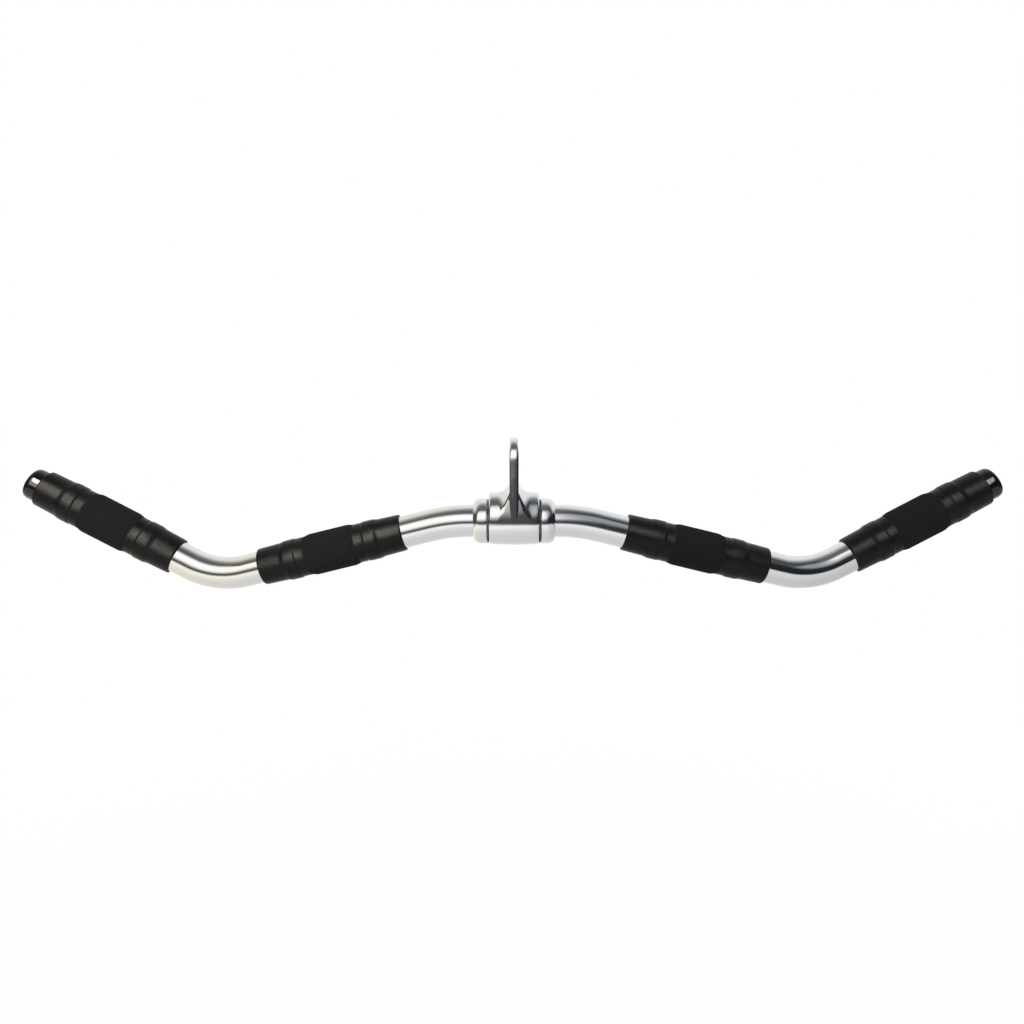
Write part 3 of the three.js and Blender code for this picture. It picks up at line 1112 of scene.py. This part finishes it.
class CABLEBAR_OT_bushes(Operator):
    """Finish the bronze bushes inside the hanger"""

    bl_idname = "cable_bar.bushes"
    bl_label = "Bushes"

    def execute(self, context):
        bronze = settings().finish.bronze
        material = plain_material(
            "Turned bronze",
            bronze,
            roughness=0.35,
            metallic=1.0,
            grain_scale=900.0,
            grain_height=0.00004,
        )
        for side in SIDES:
            bush = frame["nodes"][f"bush_{side}"]
            bush.data.materials.clear()
            bush.data.materials.append(material)
        return {"FINISHED"}


# The washers, collars and set screws


def thrust_washer():
    start = RIGHT_WASHER[0].x
    end = RIGHT_WASHER[1].x
    outer = RIGHT_WASHER[1].y
    size = settings().collar.washer_round
    bore = bore_radius()
    outline = [
        (start, bore),
        *corner(start + size, outer - size, size, 2, 1),
        *corner(end - size, outer - size, size, 1, 0),
        (end, bore),
    ]
    return turned(outline)


def stop_collar():
    collar = settings().collar
    start = RIGHT_COLLAR[0].x
    end = RIGHT_COLLAR[1].x
    drop = collar.wall - collar.lip
    shoulder = collar.shoulder
    bore = bore_radius()
    size = collar.inner_round
    outline = [
        (start, bore),
        *corner(start + size, collar.radius - size, size, 2, 1),
        *corner(end - shoulder, collar.radius - drop, drop, 1, 0, shoulder),
        (end, bore),
    ]
    return turned(outline)


def screw_seat(sign, lift):
    """Puts a piece made round X, from the tube outwards, where a set screw stands."""
    middle = (RIGHT_SCREW[0].x + RIGHT_SCREW[1].x) / 2
    at_collar = Matrix.Translation((sign * middle, 0, AXIS_HEIGHT))
    turn = Matrix.Rotation(lift * settings().collar.screw_turn, 4, "X")
    return at_collar @ turn @ Matrix.Rotation(QUARTER, 4, "Z")


def screw_hole():
    collar = settings().collar
    radius = collar.screw_radius + settings().tube.seat
    reach = 2 * collar.radius
    return turned([(0, 0), (0, radius), (reach, radius), (reach, 0)], SCREW_STEPS, closed=False)


def socket_screw():
    collar = settings().collar
    start = bore_radius()
    end = start + collar.screw_length
    radius = collar.screw_radius
    outline = [
        (start, 0),
        (start, radius - collar.screw_point),
        (start + collar.screw_point, radius),
        (end - collar.screw_edge, radius),
        (end, radius - collar.screw_edge),
        (end, 0),
    ]
    return turned(outline, SCREW_STEPS, closed=False)


def hex_socket():
    collar = settings().collar
    corners = collar.socket_flats / math.sqrt(3)
    end = bore_radius() + collar.screw_length
    floor = end - collar.socket_depth
    reach = end + collar.socket_depth
    outline = [(floor, 0), (floor, corners), (reach, corners), (reach, 0)]
    return turned(outline, HEX_SIDES, closed=False)


class CABLEBAR_OT_washers(Operator):
    """Make the thin dark washers between the hanger and the collars"""

    bl_idname = "cable_bar.washers"
    bl_label = "Thrust Washers"

    def execute(self, context):
        nylon = settings().finish.nylon
        material = plain_material(
            "Matt nylon",
            nylon,
            roughness=0.55,
            metallic=0.0,
            grain_scale=1500.0,
            grain_height=0.000004,
        )
        for side, sign in SIDES.items():
            piece = to_object(thrust_washer(), f"{side}_washer", seat_on_axis(sign))
            hand_over(piece, "bar", f"thrust_washer_{side}", "nylon", material)
        return {"FINISHED"}


class CABLEBAR_OT_collars(Operator):
    """Make the round-shouldered stop collars"""

    bl_idname = "cable_bar.collars"
    bl_label = "Stop Collars"

    def execute(self, context):
        material = chrome_material("Chrome on collars", stretch=(900, 60, 60), waviness=0.2)
        for side, sign in SIDES.items():
            piece = to_object(stop_collar(), f"{side}_collar", seat_on_axis(sign))
            holes = [
                to_object(screw_hole(), f"hole_cutter_{lift}", screw_seat(sign, lift))
                for lift in LEVELS.values()
            ]
            carve(piece, holes)
            hand_over(piece, "bar", f"stop_collar_{side}", "chrome", material)
        return {"FINISHED"}


class CABLEBAR_OT_screws(Operator):
    """Make the socket set screws at the rear of the collars"""

    bl_idname = "cable_bar.screws"
    bl_label = "Set Screws"

    def execute(self, context):
        steel = settings().finish.black_steel
        material = plain_material(
            "Black oxide",
            steel,
            roughness=0.38,
            metallic=1.0,
            grain_scale=2500.0,
            grain_height=0.00002,
        )
        for side, sign in SIDES.items():
            for level, lift in LEVELS.items():
                seat = screw_seat(sign, lift)
                piece = to_object(socket_screw(), f"{side}_{level}_screw", seat)
                carve(piece, [to_object(hex_socket(), "socket_cutter", seat)])
                node = f"set_screw_{side}_{level}"
                hand_over(piece, "bar", node, "black_steel", material)
        return {"FINISHED"}


# The studio

# One lamp and the world light the bar evenly, and the other lamps show only as highlights on the
# grips and plugs. The dark room and the bright panel, which only reflections see, glow rather than
# being lit: their dark, grey and white are painted brightness, there to give polished metal
# something to show. Their places are in metres from the frame's origin.

WHITE = (1, 1, 1)

# How bright the world lights the bar, where it is plain white to see

WORLD_LEVEL = 0.75

# The camera looks at a point this far along X from the bar's middle, at this height.

CAMERA_SHIFT = -0.0015
CAMERA_LEVEL = -0.041
SENSOR_WIDTH = 36

# Along X, what reflections see is warm on the left, then plain, and cool on the right.

WARM_UNTIL = -1.0
PLAIN_FROM = 0.1
PLAIN_UNTIL = 0.0
COOL_FROM = 0.45

# The floor is lit near the bar and glows further off. Reflections see a painted glow on it,
# brighter further out, dimmer to the right and warm on the left.

FLOOR_HALF = 14.0
FLOOR_NEAR = 0.5
FLOOR_FAR = 2.0
FLOOR_GLOW_SHARE = 0.94
FLOOR_UNDER = 0.85
FLOOR_OUT = 1.2
FLOOR_OUT_FROM = 0.2
FLOOR_OUT_TO = 2.4
FLOOR_DIM_FROM = -0.5
FLOOR_DIM_TO = 1.6
FLOOR_DIM_SHARE = 0.62

# The room's painted glow is white at its foot and at the back. The line where the white starts leans
# back low down, and bows forwards high up, by these shares of how far left or right it is.

ROOM_FRONT = -3.1
ROOM_BACK = 3.4
ROOM_SIDE = 3.0
ROOM_TOP = 3.2
ROOM_LEAN_SHARE = 0.5
ROOM_LEAN_UNTIL = 0.4
ROOM_BOW_FROM = 2.0
ROOM_BOW_SHARE = -0.42
ROOM_DARK_UNTIL = -0.5
ROOM_WHITE_FROM = 2.4
ROOM_GREY_FROM = 1.2
ROOM_FOOT_WHITE = -1.0
ROOM_FOOT_DARK = -0.3
ROOM_RIGHT_FROM = 0.1
ROOM_RIGHT_TO = 1.1

# The panel fades from its full part to its edges. It dims to the right, down to what rests there,
# and its lower edge rises to the right.

PANEL_DEPTH = -1.55
PANEL_LEFT = -1.75
PANEL_FULL_LEFT = -1.35
PANEL_RIGHT = 1.45
PANEL_LOW = -0.13
PANEL_FULL_LOW = 0.58
PANEL_FULL_HIGH = 1.2
PANEL_HIGH = 3.1
PANEL_RISE_FROM = -0.05
PANEL_RISE_SHARE = 0.85
PANEL_GLOW = 1.25
PANEL_FALL = -6.0
PANEL_MOST = 0.95
PANEL_REST = 0.3
PANEL_REST_UNTIL = 1.1
PANEL_REST_END = 1.45

# Each lamp's name, place, width, height and radiance, and the side whose grips and plug shine in it.
# The first lamp belongs to no side: it lights everything, and nothing shows it.

LAMPS = [
    ("Softbox", (-0.45, -1.55, 0.75), 1.6, 1.6, 1.4, None),
    ("Left softbox", (-0.65, -1.55, 0.95), 0.8, 1.5, 5.0, "left"),
    ("Left strip", (-0.54, -1.5, 0.85), 0.32, 1.9, 26.0, "left"),
    ("Right softbox", (0.14, -1.55, 1.2), 0.4, 0.9, 10.0, "right"),
    ("Right strip", (0.6, -1.55, 1.1), 0.45, 1.1, 9.0, "right"),
]


def seen_by(tree):
    """Whether the camera sees a surface, and whether the camera, metal or glass does."""
    path = add_node(tree, "ShaderNodeLightPath").outputs
    either = math_node(tree, "MAXIMUM", path["Is Camera Ray"], path["Is Glossy Ray"])
    return path["Is Camera Ray"], math_node(tree, "MAXIMUM", either, path["Is Transmission Ray"])


def warm_tint(tree, across):
    """Painted warm light: warm on the far left and plain from the middle on, as the floor shows it."""
    plain = map_range(tree, across, WARM_UNTIL, PLAIN_FROM)
    return mix_colour(tree, plain, settings().studio.warm, WHITE)


def tint(tree, across):
    """Warm on the far left, then plain, and cool on the right, as the lamps of the studio are."""
    cool = map_range(tree, across, PLAIN_UNTIL, COOL_FROM)
    return mix_colour(tree, cool, warm_tint(tree, across), settings().studio.cool)


def place_on(tree):
    """Where a point is, as its X, Y and Z."""
    return add_node(tree, "ShaderNodeSeparateXYZ", {0: here_on(tree)}).outputs


def bare_material(name):
    material = bpy.data.materials.new(name)
    material.use_nodes = True
    material.node_tree.nodes.clear()
    return material, material.node_tree


def glow(tree, colour_there, strength):
    return add_node(
        tree, "ShaderNodeEmission", {"Color": colour_there, "Strength": strength}
    ).outputs[0]


def end_material(tree, shader):
    add_node(tree, "ShaderNodeOutputMaterial", {"Surface": shader})


def floor_material():
    """A pale floor, faintly shaded under the bar, plain white to the camera, a painted glow in
    reflections.
    """
    material, tree = bare_material("Pale floor")
    across = place_on(tree)["X"]
    flat = add_node(
        tree, "ShaderNodeVectorMath", {0: here_on(tree), 1: (1, 1, 0)}, operation="MULTIPLY"
    ).outputs["Vector"]
    off = add_node(tree, "ShaderNodeVectorMath", {0: flat}, operation="LENGTH").outputs["Value"]
    camera, seen = seen_by(tree)
    far = map_range(tree, off, FLOOR_NEAR, FLOOR_FAR, FLOOR_GLOW_SHARE, 1.0)
    out = map_range(tree, off, FLOOR_OUT_FROM, FLOOR_OUT_TO, FLOOR_UNDER, FLOOR_OUT)
    dimmed = map_range(tree, across, FLOOR_DIM_FROM, FLOOR_DIM_TO, 1.0, FLOOR_DIM_SHARE)
    strength = add_node(
        tree, "ShaderNodeMix", {"Factor": camera, "A": times(tree, out, dimmed), "B": 1.0}
    ).outputs["Result"]
    shown = glow(tree, mix_colour(tree, camera, warm_tint(tree, across), WHITE), strength)
    paint = (*settings().studio.floor_colour, 1)
    lit = add_node(tree, "ShaderNodeBsdfDiffuse", {"Color": paint}).outputs[0]
    mixed = add_node(tree, "ShaderNodeMixShader", {0: times(tree, far, seen), 1: lit, 2: shown})
    end_material(tree, mixed.outputs[0])
    return material


def room_material():
    """Painted glow: dark in front and at the sides, grey overhead, white at the foot and the back."""
    studio = settings().studio
    material, tree = bare_material("Dark room")
    place = place_on(tree)
    right = map_range(tree, place["X"], ROOM_RIGHT_FROM, ROOM_RIGHT_TO)
    wall = mix_colour(tree, right, studio.wall, studio.dark)
    overhead = map_range(tree, place["Z"], ROOM_GREY_FROM, ROOM_TOP)
    ceiling = mix_colour(tree, right, studio.ceiling, studio.ceiling_right)
    dark = mix_colour(tree, overhead, wall, ceiling)
    foot = map_range(tree, place["Z"], ROOM_FOOT_WHITE, ROOM_FOOT_DARK, 1.0, 0.0)
    lean_share = map_range(
        tree, place["Z"], ROOM_LEAN_UNTIL, ROOM_BOW_FROM, ROOM_LEAN_SHARE, ROOM_BOW_SHARE
    )
    lean = times(tree, math_node(tree, "ABSOLUTE", place["X"]), lean_share)
    behind = math_node(tree, "SUBTRACT", place["Y"], lean)
    back = map_range(tree, behind, ROOM_DARK_UNTIL, ROOM_WHITE_FROM)
    white = math_node(tree, "MAXIMUM", foot, back)
    end_material(tree, glow(tree, mix_colour(tree, white, dark, tint(tree, place["X"])), 1.0))
    return material


def panel_material():
    """A softbox, brightest on the left. On the right it is dim, and its lower edge rises.

    The wall behind shows through where it is dark.
    """
    material, tree = bare_material("Light panel")
    place = place_on(tree)
    across = place["X"]
    fall = math_node(tree, "EXPONENT", times(tree, across, PANEL_FALL))
    bright = math_node(tree, "MINIMUM", times(tree, fall, PANEL_GLOW), PANEL_MOST)
    rest = map_range(tree, across, PANEL_REST_UNTIL, PANEL_REST_END, PANEL_REST, 0.0)
    strength = math_node(tree, "ADD", bright, rest)
    past = math_node(tree, "MAXIMUM", math_node(tree, "SUBTRACT", across, PANEL_RISE_FROM), 0.0)
    height = math_node(tree, "SUBTRACT", place["Z"], times(tree, past, PANEL_RISE_SHARE))
    edges = [
        map_range(tree, across, PANEL_LEFT, PANEL_FULL_LEFT),
        map_range(tree, height, PANEL_LOW, PANEL_FULL_LOW),
        map_range(tree, height, PANEL_FULL_HIGH, PANEL_HIGH, 1.0, 0.0),
    ]
    for edge in edges:
        strength = times(tree, strength, edge)
    shown = glow(tree, tint(tree, across), strength)
    clear = add_node(tree, "ShaderNodeBsdfTransparent").outputs[0]
    both = add_node(tree, "ShaderNodeAddShader", {0: shown, 1: clear})
    end_material(tree, both.outputs[0])
    return material


def add_floor():
    made = bmesh.new()
    down = Matrix.Translation((0, 0, -settings().studio.floor_drop))
    bmesh.ops.create_grid(made, x_segments=1, y_segments=1, size=FLOOR_HALF, matrix=down)
    floor = to_object(made, "floor")
    floor.data.materials.append(floor_material())


def add_card(made, name, material):
    """A part of the studio that only reflections see."""
    card = to_object(made, name)
    card.data.materials.append(material)
    card.visible_camera = False
    card.visible_diffuse = False
    card.visible_shadow = False


def add_room():
    """A front wall, two sides and a ceiling. The back and the bottom are open."""
    made = bmesh.new()
    bottom = -settings().studio.floor_drop
    middle = Matrix.Translation((0, (ROOM_FRONT + ROOM_BACK) / 2, (bottom + ROOM_TOP) / 2))
    size = Matrix.Diagonal((2 * ROOM_SIDE, ROOM_BACK - ROOM_FRONT, ROOM_TOP - bottom, 1))
    bmesh.ops.create_cube(made, size=1, matrix=middle @ size)
    open_sides = [
        face for face in made.faces if round(face.normal.y) == 1 or round(face.normal.z) == -1
    ]
    bmesh.ops.delete(made, geom=open_sides, context="FACES")
    add_card(made, "dark_room", room_material())


def add_panel():
    made = bmesh.new()
    middle = Matrix.Translation(
        ((PANEL_LEFT + PANEL_RIGHT) / 2, PANEL_DEPTH, (PANEL_LOW + PANEL_HIGH) / 2)
    )
    half_size = Matrix.Diagonal(
        ((PANEL_RIGHT - PANEL_LEFT) / 2, 1, (PANEL_HIGH - PANEL_LOW) / 2, 1)
    )
    upright = middle @ half_size @ Matrix.Rotation(QUARTER, 4, "X")
    bmesh.ops.create_grid(made, x_segments=1, y_segments=1, size=1, matrix=upright)
    add_card(made, "light_panel", panel_material())


def add_lamp(name, place, width, height, radiance, side):
    """A soft lamp that either lights everything, or only shows as a highlight on one side."""
    light = bpy.data.lights.new(name, "AREA")
    light.shape = "RECTANGLE"
    light.size = width
    light.size_y = height
    light.energy = radiance * math.pi * width * height
    lamp = bpy.data.objects.new(name, light)
    bpy.context.scene.collection.objects.link(lamp)
    aim = Vector(place).to_track_quat("Z", "Y").to_matrix().to_4x4()
    lamp.matrix_world = Matrix.Translation(place) @ aim
    lamp.visible_camera = False
    lamp.visible_diffuse = side is None
    lamp.visible_glossy = side is not None
    if side:
        studio = settings().studio
        light.color = studio.warm if side == "left" else studio.cool
        lamp.light_linking.receiver_collection = shiny_pieces(side)


def add_world():
    """White for what is seen, and a plain even light for what is lit."""
    world = bpy.data.worlds.new("Studio")
    world.use_nodes = True
    tree = world.node_tree
    strength = map_range(tree, seen_by(tree)[1], 0.0, 1.0, WORLD_LEVEL, 1.0, "LINEAR")
    background = tree.nodes["Background"]
    background.inputs["Color"].default_value = (*WHITE, 1)
    tree.links.new(strength, background.inputs["Strength"])
    bpy.context.scene.world = world


def add_camera():
    """The camera stands where the photograph was taken from."""
    studio = settings().studio
    target = (cad_box[0] + cad_box[1]) / 2
    target.x += CAMERA_SHIFT
    target.z = CAMERA_LEVEL
    lens = bpy.data.cameras.new("Photo camera")
    lens.sensor_width = SENSOR_WIDTH
    lens.lens = SENSOR_WIDTH * studio.focal_pixels / studio.photo_width
    camera = bpy.data.objects.new("Photo camera", lens)
    bpy.context.scene.collection.objects.link(camera)
    back = Vector((0, -math.cos(studio.elevation), math.sin(studio.elevation)))
    back.rotate(Matrix.Rotation(-studio.azimuth, 3, "Z"))
    look = (-back).to_track_quat("-Z", "Y").to_matrix().to_4x4()
    roll = Matrix.Rotation(-studio.roll, 4, "Z")
    camera.matrix_world = Matrix.Translation(target + studio.distance * back) @ look @ roll
    bpy.context.scene.camera = camera


class CABLEBAR_OT_stage(Operator):
    """Make the floor, the room, the panel, the lamps, the world and the camera"""

    bl_idname = "cable_bar.stage"
    bl_label = "Studio"

    def execute(self, context):
        context.scene.view_settings.view_transform = "Standard"
        add_floor()
        add_room()
        add_panel()
        for lamp in LAMPS:
            add_lamp(*lamp)
        add_world()
        add_camera()
        return {"FINISHED"}


# The add-on

STEPS = [
    CABLEBAR_OT_stage,
    CABLEBAR_OT_tube,
    CABLEBAR_OT_plugs,
    CABLEBAR_OT_grips,
    CABLEBAR_OT_hanger,
    CABLEBAR_OT_bushes,
    CABLEBAR_OT_washers,
    CABLEBAR_OT_collars,
    CABLEBAR_OT_screws,
]


class CABLEBAR_PT_sidebar(Panel):
    """The bar's pieces and sizes, in the sidebar"""

    bl_idname = "CABLEBAR_PT_sidebar"
    bl_label = "Cable Bar"
    bl_space_type = "VIEW_3D"
    bl_region_type = "UI"
    bl_category = "Cable Bar"

    def draw(self, context):
        for step in STEPS:
            self.layout.operator(step.bl_idname)
        for group in context.scene.cable_bar.bl_rna.properties:
            if group.type == "POINTER" and group.identifier != "rna_type":
                values = getattr(context.scene.cable_bar, group.identifier)
                column = self.layout.column(heading=group.identifier.title())
                for value in values.bl_rna.properties:
                    if value.identifier not in {"rna_type", "name"}:
                        column.prop(values, value.identifier)


CLASSES = [
    CableBarTube,
    CableBarGrip,
    CableBarHanger,
    CableBarCollar,
    CableBarFinish,
    CableBarStudio,
    CableBarSettings,
    *STEPS,
    CABLEBAR_PT_sidebar,
]


def register():
    for item in CLASSES:
        bpy.utils.register_class(item)
    bpy.types.Scene.cable_bar = PointerProperty(type=CableBarSettings)


def unregister():
    del bpy.types.Scene.cable_bar
    for item in reversed(CLASSES):
        bpy.utils.unregister_class(item)


def main():
    register()
    bpy.ops.cable_bar.stage()
    bpy.ops.cable_bar.tube()
    bpy.ops.cable_bar.plugs()
    bpy.ops.cable_bar.grips()
    bpy.ops.cable_bar.hanger()
    bpy.ops.cable_bar.bushes()
    bpy.ops.cable_bar.washers()
    bpy.ops.cable_bar.collars()
    bpy.ops.cable_bar.screws()


if __name__ == "__main__":
    main()
